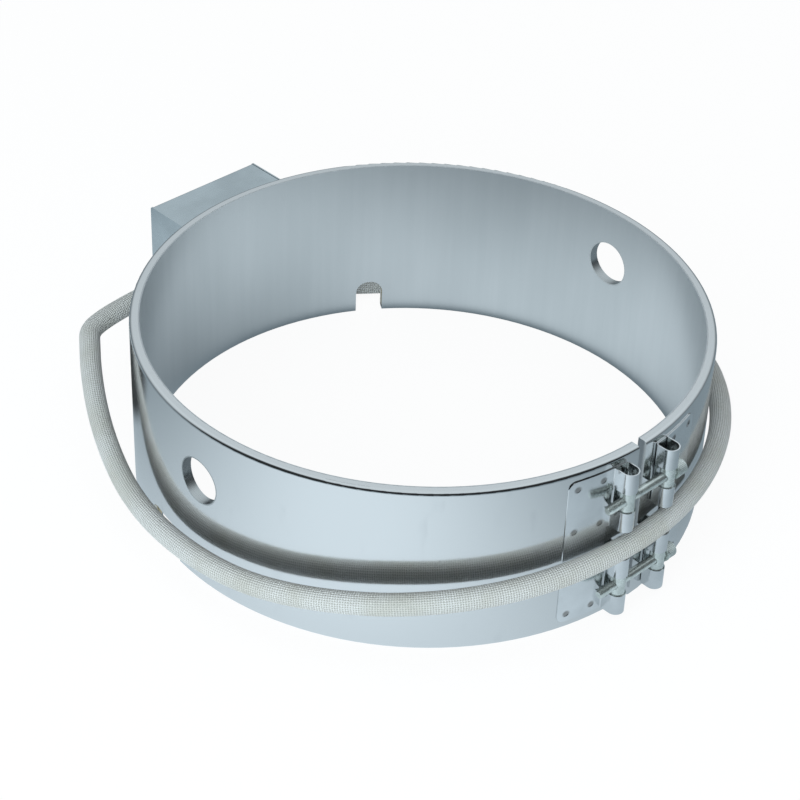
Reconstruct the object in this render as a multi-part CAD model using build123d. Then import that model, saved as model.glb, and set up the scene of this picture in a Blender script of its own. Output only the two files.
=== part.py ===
from build123d import *
import math
import os

# Band heater with a split band, two clamp screws, a terminal box and a braided lead.
# Frame: +Z is the band's axis, z = 0 its lower edge, the split faces -Y and the terminal box +Y.
# All lengths are in millimetres and all angles in degrees.

# Band
BORE_DIAMETER = 300.0
BAND_WALL = 5.5
BAND_WIDTH = 100.0
SPLIT_GAP = 5.0
SHEATH_SHEET = 0.6
RIM_RADIUS = 2.0
LAYER_PLAY = 0.05
INNER_MICA = 0.8
CORE_CARD = 0.8
RIBBON_THICKNESS = 0.25
RIBBON_WIDTH = 2.5
OUTER_MICA = 0.8

# Openings through the band
SENSOR_HOLE = 26.0
SENSOR_HOLE_HEIGHT = 66.0
LINER_SHEET = 0.6
NARROW_NOTCH_ANGLE = 57.3
NARROW_NOTCH_WIDTH = 16.0
NARROW_NOTCH_HEIGHT = 20.0
WIDE_NOTCH_ANGLE = 167.8
WIDE_NOTCH_WIDTH = 30.0
WIDE_NOTCH_HEIGHT = 22.0
NOTCH_CORNER = 7.5

# Heating ribbon: two rows of bars in each half of the band
RIBBON_BARS = 20
RIBBON_EDGE_MARGIN = 9.0
RIBBON_ROW_GAP = 16.0
RIBBON_END_MARGIN = 8.0
RIBBON_HOLE_MARGIN = 3.5

# Clamp straps
STRAP_SHEET = 0.6
STRAP_HEIGHT = 90.0
STRAP_END_X = 46.0
STRAP_CORNER = 4.5
KNUCKLE_X = 15.0
KNUCKLE_BORE = 8.2
KNUCKLE_STANDOFF = 5.6
LOOP_CORNER = 1.8
LOOP_SLIT = 0.5
WALL_BEND = 0.8
SCREW_SPACING = 54.0
WINDOW_HEIGHT = 12.0
WINDOW_REACH = 4.8
WINDOW_CORNER = 3.5
LEAD_CUTOUT = 18.0
LEAD_CUTOUT_REACH = 1.8
WELD_DIAMETER = 3.4
WELD_DEPTH = 0.2
WELD_EDGE = 5.0
WELD_COLUMN_PITCH = 15.0
WELD_ROWS = 4

# Clamp screws and barrels
SCREW_DIAMETER = 5.0
SCREW_LENGTH = 50.0
SCREW_HEAD_DIAMETER = 8.5
SCREW_HEAD_HEIGHT = 6.0
SOCKET_ACROSS_FLATS = 4.0
SOCKET_DEPTH = 2.6
BARREL_DIAMETER = 8.0
BARREL_LENGTH = 24.0
BARREL_CHAMFER = 0.4
THREAD_PLAY = 0.12
PLAIN_HOLE_PLAY = 0.5
WASHER_DIAMETER = 9.0
WASHER_THICKNESS = 1.0
SEAT_PLAY = 0.1

# Terminal box
BOX_LENGTH = 76.0
BOX_HEIGHT = 88.0
BOX_DEPTH = 28.0
BOX_SHEET = 0.8
BOX_LIP = 0.3
BOX_BEND = 1.2
BOX_SEAM = 0.1
TAB_WIDTH = 9.0
TAB_HEIGHT = 12.0
COVER_SCREW = 4.0
COVER_SCREW_HEAD = 8.0
COVER_SCREW_HEAD_HEIGHT = 2.4
COVER_SCREW_LENGTH = 7.0
CROSS_WIDTH = 1.0
CROSS_LENGTH = 4.4
CROSS_DEPTH = 1.3

# Terminals in the box
TERMINAL_SPACING = 28.0
STUD_DIAMETER = 5.0
STUD_LENGTH = 22.0
STUD_HEAD_DIAMETER = 8.0
STUD_HEAD_THICKNESS = 0.6
BUSH_BODY = 8.8
BUSH_FLANGE = 14.0
BUSH_FLANGE_THICKNESS = 3.0
NUT_ACROSS_FLATS = 8.0
NUT_HEIGHT = 4.0
TERMINAL_WASHER = 10.0
TERMINAL_WASHER_THICKNESS = 1.0
LUG_WIDTH = 9.0
LUG_SHEET = 0.8
LUG_BARREL = 4.2
LUG_BARREL_LENGTH = 7.0
EARTH_STUD_RISE = 20.0
EARTH_STUD_LENGTH = 15.0

# Lead
LEAD_DIAMETER = 12.0
LEAD_STANDOFF = 11.5
WIRE_DIAMETER = 2.6
WIRE_RING = 2.1
GLAND_DIAMETER = 15.0
GLAND_FLANGE = 19.0
GLAND_FLANGE_THICKNESS = 1.5
GLAND_LENGTH = 6.5
GLAND_INSIDE = 2.0
TAIL_LENGTH = 45.0
TAIL_PITCH = 3.4
TAIL_SPREAD = 6.5
WIRE_STEP = 10.0

# Worked-out sizes
BORE_RADIUS = BORE_DIAMETER / 2
BAND_RADIUS = BORE_RADIUS + BAND_WALL
MID_HEIGHT = BAND_WIDTH / 2
INNER_SHEATH_OUT = BORE_RADIUS + SHEATH_SHEET
CAVITY_OUT = BAND_RADIUS - SHEATH_SHEET
INNER_MICA_IN = INNER_SHEATH_OUT + LAYER_PLAY
CORE_IN = INNER_MICA_IN + INNER_MICA + LAYER_PLAY
RIBBON_IN = CORE_IN + CORE_CARD + LAYER_PLAY / 2
OUTER_MICA_IN = RIBBON_IN + RIBBON_THICKNESS + LAYER_PLAY
BLANKET_IN = OUTER_MICA_IN + OUTER_MICA + LAYER_PLAY
BLANKET_OUT = CAVITY_OUT - LAYER_PLAY
LAYER_LOW = RIM_RADIUS + LAYER_PLAY
LAYER_END_INSET = SHEATH_SHEET + 1.0
LINER_OUT = SENSOR_HOLE / 2 + LINER_SHEET
SEAT_RADIUS = BAND_RADIUS + LAYER_PLAY
STRAP_OUT = SEAT_RADIUS + STRAP_SHEET
STRAP_LOW = MID_HEIGHT - STRAP_HEIGHT / 2
STRAP_TOP = MID_HEIGHT + STRAP_HEIGHT / 2
KNUCKLE_RADIUS = KNUCKLE_BORE / 2 + STRAP_SHEET
SCREW_Y = -(BAND_RADIUS + KNUCKLE_STANDOFF)
UPPER_SCREW_Z = MID_HEIGHT + SCREW_SPACING / 2
LOWER_SCREW_Z = MID_HEIGHT - SCREW_SPACING / 2
KNUCKLE_OUT_X = KNUCKLE_X + KNUCKLE_RADIUS
SADDLE_OUT = SEAT_RADIUS + BOX_SHEET
BOX_FRONT = BAND_RADIUS + BOX_DEPTH
BOX_LOW = MID_HEIGHT - BOX_HEIGHT / 2
BOX_TOP = MID_HEIGHT + BOX_HEIGHT / 2
BOX_INNER_X = BOX_LENGTH / 2 - BOX_SHEET
COVER_FRONT = BOX_FRONT - BOX_LIP
STUD_BASE_Y = RIBBON_IN + RIBBON_THICKNESS
STUD_HOLE_RADIUS = BUSH_BODY / 2 + LAYER_PLAY
EARTH_STUD_HEIGHT = BOX_LOW + EARTH_STUD_RISE
LEAD_AXIS_Y = BAND_RADIUS + LEAD_STANDOFF
LEAD_START_X = -BOX_LENGTH / 2 + BOX_SHEET + GLAND_INSIDE


def ring(r_in, r_out, z_low, z_high):
    """A plain ring about the band's axis."""
    height = z_high - z_low
    return Pos(0, 0, (z_low + z_high) / 2) * (Cylinder(r_out, height) - Cylinder(r_in, height))


def split_cut(inset=0.0):
    """The block that opens the band at its split, wider by an inset at each end."""
    return Pos(0, -BAND_RADIUS, MID_HEIGHT) * Box(SPLIT_GAP + 2 * inset, 4 * BAND_WALL, 2 * BAND_WIDTH)


def hex_prism(across_flats, height):
    return extrude(RegularPolygon(across_flats / 2, 6, major_radius=False), height)


def along_y(x, y, z):
    """A location whose own +Z points along the frame's +Y."""
    return Location(Plane(origin=(x, y, z), x_dir=(1, 0, 0), z_dir=(0, 1, 0)))


def along_x(x, y, z):
    """A location whose own +Z points along the frame's +X."""
    return Location(Plane(origin=(x, y, z), x_dir=(0, 1, 0), z_dir=(1, 0, 0)))


def disc(diameter, height, bore=0.0):
    """A disc or washer standing on its own origin."""
    body = extrude(Circle(diameter / 2), height)
    if bore:
        body -= extrude(Circle(bore / 2), height)
    return body


# Openings shared by every layer of the band
def notch_cut(angle, width, height):
    """A notch in the lower edge with rounded upper corners, cut radially through the wall."""
    a = math.radians(angle)
    face = Plane(
        origin=(0, 0, 0),
        x_dir=(-math.sin(a), math.cos(a), 0),
        z_dir=(math.cos(a), math.sin(a), 0),
    ).offset(BORE_RADIUS - BAND_WALL)
    outline = Pos(0, -BAND_WALL) * Rectangle(width, height + BAND_WALL, align=(Align.CENTER, Align.MIN))
    outline = fillet(outline.vertices().sort_by(Axis.Y)[-2:], min(NOTCH_CORNER, width / 2 - 0.1))
    return extrude(face * outline, 3 * BAND_WALL)


def sensor_hole_cut(radius):
    return Pos(0, 0, SENSOR_HOLE_HEIGHT) * Rot(0, 90, 0) * Cylinder(radius, 3 * BAND_RADIUS)


def notch_cuts():
    return [
        notch_cut(NARROW_NOTCH_ANGLE, NARROW_NOTCH_WIDTH, NARROW_NOTCH_HEIGHT),
        notch_cut(WIDE_NOTCH_ANGLE, WIDE_NOTCH_WIDTH, WIDE_NOTCH_HEIGHT),
    ]


def stud_cuts(radius):
    start = BORE_RADIUS + BAND_WALL / 4
    return [
        along_y(side * TERMINAL_SPACING / 2, start, MID_HEIGHT) * disc(2 * radius, 2 * BAND_WALL)
        for side in (-1, 1)
    ]


def open_band(body, end_inset=0.0, studs=False):
    """Cut the split, the two sensor holes and the two notches through one layer."""
    cuts = [split_cut(end_inset), sensor_hole_cut(LINER_OUT + LAYER_PLAY)] + notch_cuts()
    if studs:
        cuts += stud_cuts(STUD_HOLE_RADIUS)
    return body - cuts


def layer(r_in, r_out, studs=False):
    """One sheet of the sandwich between the two sheaths."""
    return open_band(ring(r_in, r_out, LAYER_LOW, BAND_WIDTH - LAYER_LOW), LAYER_END_INSET, studs)


# Sheaths
def outer_rims(body, radius):
    """The two circular edges of a ring at one radius."""
    circles = body.edges().filter_by(GeomType.CIRCLE)
    return circles.filter_by(lambda edge: abs(edge.radius - radius) < LAYER_PLAY / 2)


def outer_sheath():
    """Polished sheet bent inwards over both rims and closed at both ends of the split."""
    lip = INNER_SHEATH_OUT + LAYER_PLAY
    body = ring(lip, BAND_RADIUS, 0, BAND_WIDTH)
    body = fillet(outer_rims(body, BAND_RADIUS), RIM_RADIUS)
    cavity = ring(BORE_RADIUS, CAVITY_OUT, SHEATH_SHEET, BAND_WIDTH - SHEATH_SHEET)
    cavity = fillet(outer_rims(cavity, CAVITY_OUT), RIM_RADIUS - SHEATH_SHEET)
    cavity -= split_cut(SHEATH_SHEET)
    return open_band(body - cavity, studs=True)


def inner_sheath():
    return open_band(ring(BORE_RADIUS, INNER_SHEATH_OUT, 0, BAND_WIDTH))


def hole_liner(side):
    """The tube that closes the wall round one sensor hole, trimmed to the band's curves."""
    tube = sensor_hole_cut(LINER_OUT) - sensor_hole_cut(SENSOR_HOLE / 2)
    half = Pos(side * BAND_RADIUS, 0, SENSOR_HOLE_HEIGHT) * Box(4 * BAND_WALL, 2 * SENSOR_HOLE, 2 * SENSOR_HOLE)
    return tube & ring(BORE_RADIUS, BAND_RADIUS, 0, BAND_WIDTH) & half


# Heating ribbon
def bar_limits(angle):
    """Lowest and highest ribbon heights at an angle, for the lower and the upper row."""
    low, high = RIBBON_EDGE_MARGIN, BAND_WIDTH - RIBBON_EDGE_MARGIN
    row_low = MID_HEIGHT + RIBBON_ROW_GAP / 2
    for notch_angle, width, height in (
        (NARROW_NOTCH_ANGLE, NARROW_NOTCH_WIDTH, NARROW_NOTCH_HEIGHT),
        (WIDE_NOTCH_ANGLE, WIDE_NOTCH_WIDTH, WIDE_NOTCH_HEIGHT),
    ):
        reach = math.degrees((width / 2 + RIBBON_HOLE_MARGIN) / BORE_RADIUS)
        if abs(angle - notch_angle) < reach:
            low = height + RIBBON_HOLE_MARGIN
    reach = math.degrees((LINER_OUT + RIBBON_HOLE_MARGIN) / BORE_RADIUS)
    if min(abs(angle - 180), abs(angle)) < reach:
        row_low = SENSOR_HOLE_HEIGHT + LINER_OUT + RIBBON_HOLE_MARGIN
    return (low, MID_HEIGHT - RIBBON_ROW_GAP / 2), (row_low, high)


def ribbon_half(side):
    """Path points (angle, height) from a terminal out along the upper row and back along the lower."""
    start = math.degrees(math.asin(TERMINAL_SPACING / 2 / RIBBON_IN))
    end = 180 - math.degrees(RIBBON_END_MARGIN / RIBBON_IN)
    step = (end - start) / (RIBBON_BARS - 1)
    angles = [90 + side * (start + i * step) for i in range(RIBBON_BARS)]
    wrapped = [a if a <= 180 else a - 360 for a in angles]
    wrapped = [a + 360 if a < -90 else a for a in wrapped]
    upper = [bar_limits(a)[1] for a in wrapped]
    lower = [bar_limits(a)[0] for a in wrapped]
    points = [(angles[0], MID_HEIGHT - STUD_HEAD_DIAMETER / 4)]
    for i in range(RIBBON_BARS):
        if i % 2 == 0:
            points.append((angles[i], upper[i][1]))
            points.append((angles[i + 1], upper[i][1]))
        elif i < RIBBON_BARS - 1:
            link = max(upper[i][0], upper[i + 1][0])
            points.append((angles[i], link))
            points.append((angles[i + 1], link))
    for i in reversed(range(1, RIBBON_BARS)):
        if i % 2 == 1:
            link = max(lower[i][0], lower[i - 1][0])
        else:
            link = lower[i][1]
        points.append((angles[i], link))
        points.append((angles[i - 1], link))
    points.append((angles[0], lower[0][1]))
    return points


def heating_ribbon():
    """One flat ribbon, from one terminal round both halves of the band to the other."""
    left = ribbon_half(1)
    right = ribbon_half(-1)
    path = left + right[::-1]
    mid = RIBBON_IN + RIBBON_THICKNESS / 2
    pieces = []
    for (a0, z0), (a1, z1) in zip(path, path[1:]):
        if abs(a1 - a0) < 1e-6:
            length = abs(z1 - z0) + RIBBON_WIDTH
            bar = Pos(mid, 0, (z0 + z1) / 2) * Box(RIBBON_THICKNESS, RIBBON_WIDTH, length)
            pieces.append(Rot(0, 0, a0) * bar)
        else:
            section = Plane.XZ * Pos(mid, z0) * Rectangle(RIBBON_THICKNESS, RIBBON_WIDTH)
            pieces.append(Rot(0, 0, min(a0, a1)) * revolve(section, Axis.Z, abs(a1 - a0)))
    return pieces[0].fuse(*pieces[1:]).clean()


# Clamp straps, drawn for the side of the split at +X and mirrored for the other
def loop_region(half_width, back_radius):
    """The loop seen from above: round in front, straight at the sides and curved with the band behind."""
    sides = Pos(KNUCKLE_X, SCREW_Y / 2) * Rectangle(2 * half_width, -SCREW_Y)
    region = sides - Circle(back_radius) + Pos(KNUCKLE_X, SCREW_Y) * Circle(half_width)
    return region


def near(shape, x, y):
    """The corner of a flat outline that lies nearest a place."""
    return shape.vertices().sort_by_distance((x, y, 0))[0]


def strap_profile():
    """Plate on the band, radial wall, half round over the barrel and the leg back along the split."""
    outer = loop_region(KNUCKLE_RADIUS, SEAT_RADIUS)
    outer = fillet(near(outer, KNUCKLE_X - KNUCKLE_RADIUS, -SEAT_RADIUS), LOOP_CORNER)
    inner = loop_region(KNUCKLE_BORE / 2, STRAP_OUT)
    inner = fillet(near(inner, KNUCKLE_X - KNUCKLE_BORE / 2, -STRAP_OUT), LOOP_CORNER - STRAP_SHEET)
    wall_x = KNUCKLE_X + KNUCKLE_BORE / 2
    span = Pos((wall_x + STRAP_END_X) / 2, -BAND_RADIUS) * Rectangle(STRAP_END_X - wall_x, BAND_RADIUS)
    plate = (Circle(STRAP_OUT) - Circle(SEAT_RADIUS)) & span
    foot_y = -math.sqrt(STRAP_OUT ** 2 - wall_x ** 2)
    slit = Pos(wall_x - LOOP_SLIT / 2, foot_y + STRAP_SHEET / 2) * Rectangle(LOOP_SLIT, 3 * STRAP_SHEET)
    profile = outer - inner + plate - slit
    return fillet(near(profile, KNUCKLE_OUT_X, foot_y), WALL_BEND)


def strap_outline():
    """The strap seen from in front, with its far corners rounded."""
    inner_x = KNUCKLE_X - KNUCKLE_RADIUS
    outline = Pos((inner_x + STRAP_END_X) / 2, MID_HEIGHT) * Rectangle(STRAP_END_X - inner_x, STRAP_HEIGHT)
    outline = fillet(outline.vertices().sort_by(Axis.X)[-2:], STRAP_CORNER)
    return extrude(Plane.XZ * outline, 2 * BAND_RADIUS)


def window_cuts(height):
    """The window for a screw: through the loop in front of its back leg, and into the plate."""
    split_x = KNUCKLE_X + (KNUCKLE_BORE - LOOP_SLIT) / 2
    loop_x = KNUCKLE_X - 2 * KNUCKLE_RADIUS
    depth = 4 * KNUCKLE_RADIUS
    front = Box(split_x - loop_x, depth, WINDOW_HEIGHT)
    front = Pos((split_x + loop_x) / 2, -STRAP_OUT - SEAT_PLAY - depth / 2, height) * front
    end_x = KNUCKLE_OUT_X + WINDOW_REACH
    outline = Pos((split_x + end_x) / 2, height) * Rectangle(end_x - split_x, WINDOW_HEIGHT)
    outline = fillet(outline.vertices().sort_by(Axis.X)[-2:], WINDOW_CORNER)
    return [front, extrude(Plane.XZ * outline, 2 * BAND_RADIUS)]


def lead_cutout():
    """The space between the upper and the lower loop, where the lead lies."""
    low_x = KNUCKLE_X - 2 * KNUCKLE_RADIUS
    high_x = KNUCKLE_OUT_X + LEAD_CUTOUT_REACH
    depth = 8 * KNUCKLE_RADIUS
    return Pos((low_x + high_x) / 2, SCREW_Y, MID_HEIGHT) * Box(high_x - low_x, depth, LEAD_CUTOUT)


def weld_mark(x, height):
    """The shallow round dent of one spot weld."""
    angle = math.degrees(math.asin(x / STRAP_OUT))
    centre = Pos(0, -STRAP_OUT, height) * Rot(90, 0, 0) * Cylinder(WELD_DIAMETER / 2, 2 * WELD_DEPTH)
    return Rot(0, 0, angle) * centre


def strap(side):
    """A sheet welded to the band, whose free edge is folded into a loop for the two barrels."""
    body = Pos(0, 0, STRAP_LOW) * extrude(strap_profile(), STRAP_HEIGHT)
    body &= strap_outline()
    body -= window_cuts(UPPER_SCREW_Z) + window_cuts(LOWER_SCREW_Z) + [lead_cutout()]
    row_pitch = (STRAP_HEIGHT - 2 * WELD_EDGE) / (WELD_ROWS - 1)
    for column in (STRAP_END_X - WELD_EDGE, STRAP_END_X - WELD_EDGE - WELD_COLUMN_PITCH):
        for row in range(WELD_ROWS):
            body -= weld_mark(column, STRAP_LOW + WELD_EDGE + row * row_pitch)
    return body if side > 0 else mirror(body, Plane.YZ)


# Barrels and screws
def barrel(x, height, bore):
    body = chamfer(Cylinder(BARREL_DIAMETER / 2, BARREL_LENGTH).edges(), BARREL_CHAMFER)
    body -= Rot(0, 90, 0) * Cylinder(bore / 2, 2 * BARREL_DIAMETER)
    return Pos(x, SCREW_Y, height) * body


def washer_x():
    return KNUCKLE_X + BARREL_DIAMETER / 2 + SEAT_PLAY


def screw_washer(height):
    bore = SCREW_DIAMETER + 2 * SEAT_PLAY
    return along_x(washer_x(), SCREW_Y, height) * disc(WASHER_DIAMETER, WASHER_THICKNESS, bore)


def clamp_screw(height):
    """Socket-head screw: the head is at +X and the end stands out past the threaded barrel."""
    under_head = washer_x() + WASHER_THICKNESS + SEAT_PLAY / 2
    head = disc(SCREW_HEAD_DIAMETER, SCREW_HEAD_HEIGHT)
    head = chamfer(head.edges().sort_by(Axis.Z)[-1], 0.5)
    head -= Pos(0, 0, SCREW_HEAD_HEIGHT - SOCKET_DEPTH) * hex_prism(SOCKET_ACROSS_FLATS, 2 * SOCKET_DEPTH)
    shank = Pos(0, 0, -SCREW_LENGTH) * disc(SCREW_DIAMETER, SCREW_LENGTH)
    shank = chamfer(shank.edges().sort_by(Axis.Z)[0], 0.6)
    return along_x(under_head, SCREW_Y, height) * (head + shank)


# Terminal box
def box_block(x_half, y_front, z_low, z_high):
    """The space in front of the saddle up to a front face."""
    block = Pos(0, y_front / 2, (z_low + z_high) / 2) * Box(2 * x_half, y_front, z_high - z_low)
    return block - Pos(0, 0, MID_HEIGHT) * Cylinder(SEAT_RADIUS, 2 * BAND_WIDTH)


def folded_block(x_half, y_front, z_low, z_high, bend):
    """A block whose two front edges are rounded as a sheet bends."""
    block = box_block(x_half, y_front, z_low, z_high)
    return fillet(block.edges().filter_by(Axis.X).sort_by(Axis.Y)[-2:], bend)


def terminal_box_base():
    """Curved saddle with an end wall at each side, folded tabs for the cover and the lead's hole."""
    outer = folded_block(BOX_LENGTH / 2, BOX_FRONT, BOX_LOW, BOX_TOP, BOX_BEND + BOX_LIP)
    inside = Pos(0, 0, MID_HEIGHT) * Box(2 * BOX_INNER_X, 3 * BOX_FRONT, 2 * BOX_HEIGHT)
    walls = outer - inside
    saddle = box_block(BOX_INNER_X, BOX_FRONT, BOX_LOW, BOX_TOP)
    saddle &= ring(SEAT_RADIUS, SADDLE_OUT, BOX_LOW, BOX_TOP)
    body = walls + saddle
    tab_y = COVER_FRONT - BOX_SHEET - BOX_SEAM - BOX_SHEET / 2
    for side in (-1, 1):
        tab_x = side * (BOX_INNER_X - TAB_WIDTH / 2)
        body += Pos(tab_x, tab_y, MID_HEIGHT) * Box(TAB_WIDTH, BOX_SHEET, TAB_HEIGHT)
        body -= along_y(tab_x, tab_y - BOX_SHEET, MID_HEIGHT) * disc(COVER_SCREW + 2 * SEAT_PLAY, 2 * BOX_SHEET)
    body -= stud_cuts(STUD_HOLE_RADIUS)
    gland_hole = GLAND_DIAMETER / 2 + LAYER_PLAY
    body -= along_x(-BOX_LENGTH / 2 - 1, LEAD_AXIS_Y, MID_HEIGHT) * disc(2 * gland_hole, BOX_SHEET + 2)
    return body


def terminal_box_cover():
    """Folded sheet over the top, front and bottom, set down between the proud end walls."""
    x_half = BOX_INNER_X - BOX_SEAM
    low, top = BOX_LOW + BOX_LIP, BOX_TOP - BOX_LIP
    outer = folded_block(x_half, COVER_FRONT, low, top, BOX_BEND)
    inner_bend = BOX_BEND - BOX_SHEET
    inner = folded_block(2 * x_half, COVER_FRONT - BOX_SHEET, low + BOX_SHEET, top - BOX_SHEET, inner_bend)
    body = outer - inner - Pos(0, 0, MID_HEIGHT) * Cylinder(SADDLE_OUT + BOX_SEAM, 2 * BAND_WIDTH)
    for side in (-1, 1):
        hole_x = side * (BOX_INNER_X - TAB_WIDTH / 2)
        hole = disc(COVER_SCREW + 2 * SEAT_PLAY, 3 * BOX_SHEET)
        body -= along_y(hole_x, COVER_FRONT - 2 * BOX_SHEET, MID_HEIGHT) * hole
    return body


def cover_screws():
    """The two cross-head screws that hold the cover to the tabs."""
    head = disc(COVER_SCREW_HEAD, COVER_SCREW_HEAD_HEIGHT)
    head = fillet(head.edges().sort_by(Axis.Z)[-1], COVER_SCREW_HEAD_HEIGHT * 0.7)
    shank = Pos(0, 0, -COVER_SCREW_LENGTH) * disc(COVER_SCREW, COVER_SCREW_LENGTH)
    bar = Box(CROSS_WIDTH, CROSS_LENGTH, 2 * CROSS_DEPTH)
    cross = Pos(0, 0, COVER_SCREW_HEAD_HEIGHT) * (bar + Rot(0, 0, 90) * bar)
    screw = head + shank - cross
    screw_x = BOX_INNER_X - TAB_WIDTH / 2
    return Compound([along_y(side * screw_x, COVER_FRONT + LAYER_PLAY, MID_HEIGHT) * screw for side in (-1, 1)])


# Terminals: each stack is a list of heights worked up from the stud's foot
LUG_UP = 0
LUG_DOWN = 180
LUG_LEFT = -90
STACK_BUSH = SADDLE_OUT + LAYER_PLAY
STACK_NUT = STACK_BUSH + BUSH_FLANGE_THICKNESS + LAYER_PLAY
STACK_WASHER = STACK_NUT + NUT_HEIGHT + LAYER_PLAY
STACK_LUG = STACK_WASHER + TERMINAL_WASHER_THICKNESS + LAYER_PLAY
STACK_TOP_WASHER = STACK_LUG + LUG_SHEET + LAYER_PLAY
STACK_TOP_NUT = STACK_TOP_WASHER + TERMINAL_WASHER_THICKNESS + LAYER_PLAY
EARTH_LUG = SADDLE_OUT + TERMINAL_WASHER_THICKNESS + 2 * LAYER_PLAY
EARTH_NUT = EARTH_LUG + LUG_SHEET + LAYER_PLAY


def terminal_pairs(piece, y):
    return Compound([along_y(side * TERMINAL_SPACING / 2, y, MID_HEIGHT) * piece for side in (-1, 1)])


def terminal_insulators():
    """Ceramic flanged bushes that carry the studs through the sheath."""
    foot = STUD_BASE_Y + STUD_HEAD_THICKNESS + LAYER_PLAY
    body = Pos(0, 0, foot - STACK_BUSH) * disc(BUSH_BODY, STACK_BUSH - foot)
    body += disc(BUSH_FLANGE, BUSH_FLANGE_THICKNESS)
    body -= Pos(0, 0, -BAND_WALL) * disc(STUD_DIAMETER + 2 * SEAT_PLAY, 3 * BAND_WALL)
    return terminal_pairs(body, STACK_BUSH)


def terminal_studs():
    stud = disc(STUD_HEAD_DIAMETER, STUD_HEAD_THICKNESS) + disc(STUD_DIAMETER, STUD_LENGTH)
    return terminal_pairs(chamfer(stud.edges().sort_by(Axis.Z)[-1], 0.5), STUD_BASE_Y)


def nut():
    bore = STUD_DIAMETER + 2 * LAYER_PLAY
    return hex_prism(NUT_ACROSS_FLATS, NUT_HEIGHT) - disc(bore, NUT_HEIGHT)


def terminal_nuts():
    return Compound(list(terminal_pairs(nut(), STACK_NUT)) + list(terminal_pairs(nut(), STACK_TOP_NUT)))


def terminal_washers():
    washer = disc(TERMINAL_WASHER, TERMINAL_WASHER_THICKNESS, STUD_DIAMETER + 2 * SEAT_PLAY)
    return Compound(list(terminal_pairs(washer, STACK_WASHER)) + list(terminal_pairs(washer, STACK_TOP_WASHER)))


def lug():
    """Ring terminal lying on its own XY plane, its crimp barrel pointing along -Y."""
    neck = LUG_WIDTH / 2 + 1.0
    body = extrude(Circle(LUG_WIDTH / 2) + Pos(0, -neck / 2) * Rectangle(LUG_BARREL, neck), LUG_SHEET)
    body -= disc(STUD_DIAMETER + 2 * SEAT_PLAY, LUG_SHEET)
    crimp = Pos(0, -neck - LUG_BARREL_LENGTH / 2, LUG_BARREL / 2) * Rot(90, 0, 0)
    body += crimp * Cylinder(LUG_BARREL / 2, LUG_BARREL_LENGTH)
    return body - crimp * Cylinder(WIRE_DIAMETER / 2 + LAYER_PLAY, 2 * LUG_BARREL_LENGTH)


def lug_location(x, y, z, turn):
    """Places a ring terminal flat against the saddle; at turn 0 its barrel points up."""
    return along_y(x, y, z) * Rot(0, 0, turn)


def ring_terminals():
    left = lug_location(-TERMINAL_SPACING / 2, STACK_LUG, MID_HEIGHT, LUG_UP) * lug()
    right = lug_location(TERMINAL_SPACING / 2, STACK_LUG, MID_HEIGHT, LUG_DOWN) * lug()
    earth = lug_location(0, EARTH_LUG, EARTH_STUD_HEIGHT, LUG_LEFT) * lug()
    return Compound([left, right, earth])


def earth_stud():
    stud = along_y(0, SADDLE_OUT + LAYER_PLAY / 2, EARTH_STUD_HEIGHT) * disc(STUD_DIAMETER, EARTH_STUD_LENGTH)
    return chamfer(stud.edges().sort_by(Axis.Y)[-1], 0.5)


def earth_nut():
    return along_y(0, EARTH_NUT, EARTH_STUD_HEIGHT) * nut()


def earth_washer():
    washer = disc(TERMINAL_WASHER, TERMINAL_WASHER_THICKNESS, STUD_DIAMETER + 2 * SEAT_PLAY)
    return along_y(0, SADDLE_OUT + LAYER_PLAY, EARTH_STUD_HEIGHT) * washer


# Wires and lead
def tube(points, diameter, radii):
    """A round tube along straight runs joined by tangent arcs."""
    path = FilletPolyline(*points, radius=radii)
    start = Plane(origin=path @ 0, z_dir=path % 0)
    return sweep(start * Circle(diameter / 2), path=path), path


def even_radii(points):
    """An arc at each corner as large as its two runs allow."""
    vectors = [Vector(*p) for p in points]
    radii = []
    for before, corner, after in zip(vectors, vectors[1:], vectors[2:]):
        run_in, run_out = corner - before, after - corner
        turn = math.radians(run_in.get_angle(run_out))
        radii.append(0.45 * min(run_in.length, run_out.length) / math.tan(turn / 2))
    return radii


def wire_points(angle, steps):
    """Points of one wire: straight out of the sleeve, then places counted in steps from there."""
    a = math.radians(angle)
    y = LEAD_AXIS_Y + WIRE_RING * math.cos(a)
    z = MID_HEIGHT + WIRE_RING * math.sin(a)
    start = LEAD_START_X + LAYER_PLAY
    return [(start + i * WIRE_STEP, y + j * WIRE_STEP, z + k * WIRE_STEP) for i, j, k in [(0, 0, 0)] + steps]


def lug_mouth(x, y, z, turn, ahead=0.0):
    """A point on the axis of a ring terminal's barrel, at its open end or ahead of it."""
    reach = LUG_WIDTH / 2 + LUG_BARREL_LENGTH + ahead
    place = lug_location(x, y, z, turn) * Pos(0, -reach, LUG_BARREL / 2)
    return tuple(place.position)


def live_wire():
    place = (-TERMINAL_SPACING / 2, STACK_LUG, MID_HEIGHT, LUG_UP)
    points = wire_points(90, [(0.45, 0, 0), (0.8, 0.2, 0.9), (0.95, 0.4, 2.1), (1.7, 0.25, 2.9)])
    points += [lug_mouth(*place, ahead=0.7 * WIRE_STEP), lug_mouth(*place)]
    return tube(points, WIRE_DIAMETER, even_radii(points))[0]


def neutral_wire():
    place = (TERMINAL_SPACING / 2, STACK_LUG, MID_HEIGHT, LUG_DOWN)
    points = wire_points(-30, [(0.45, 0, 0), (1.4, 0.7, -0.5), (2.9, 0.9, -1.4), (4.1, 0.6, -2.2)])
    points += [lug_mouth(*place, ahead=0.7 * WIRE_STEP), lug_mouth(*place)]
    return tube(points, WIRE_DIAMETER, even_radii(points))[0]


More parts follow.
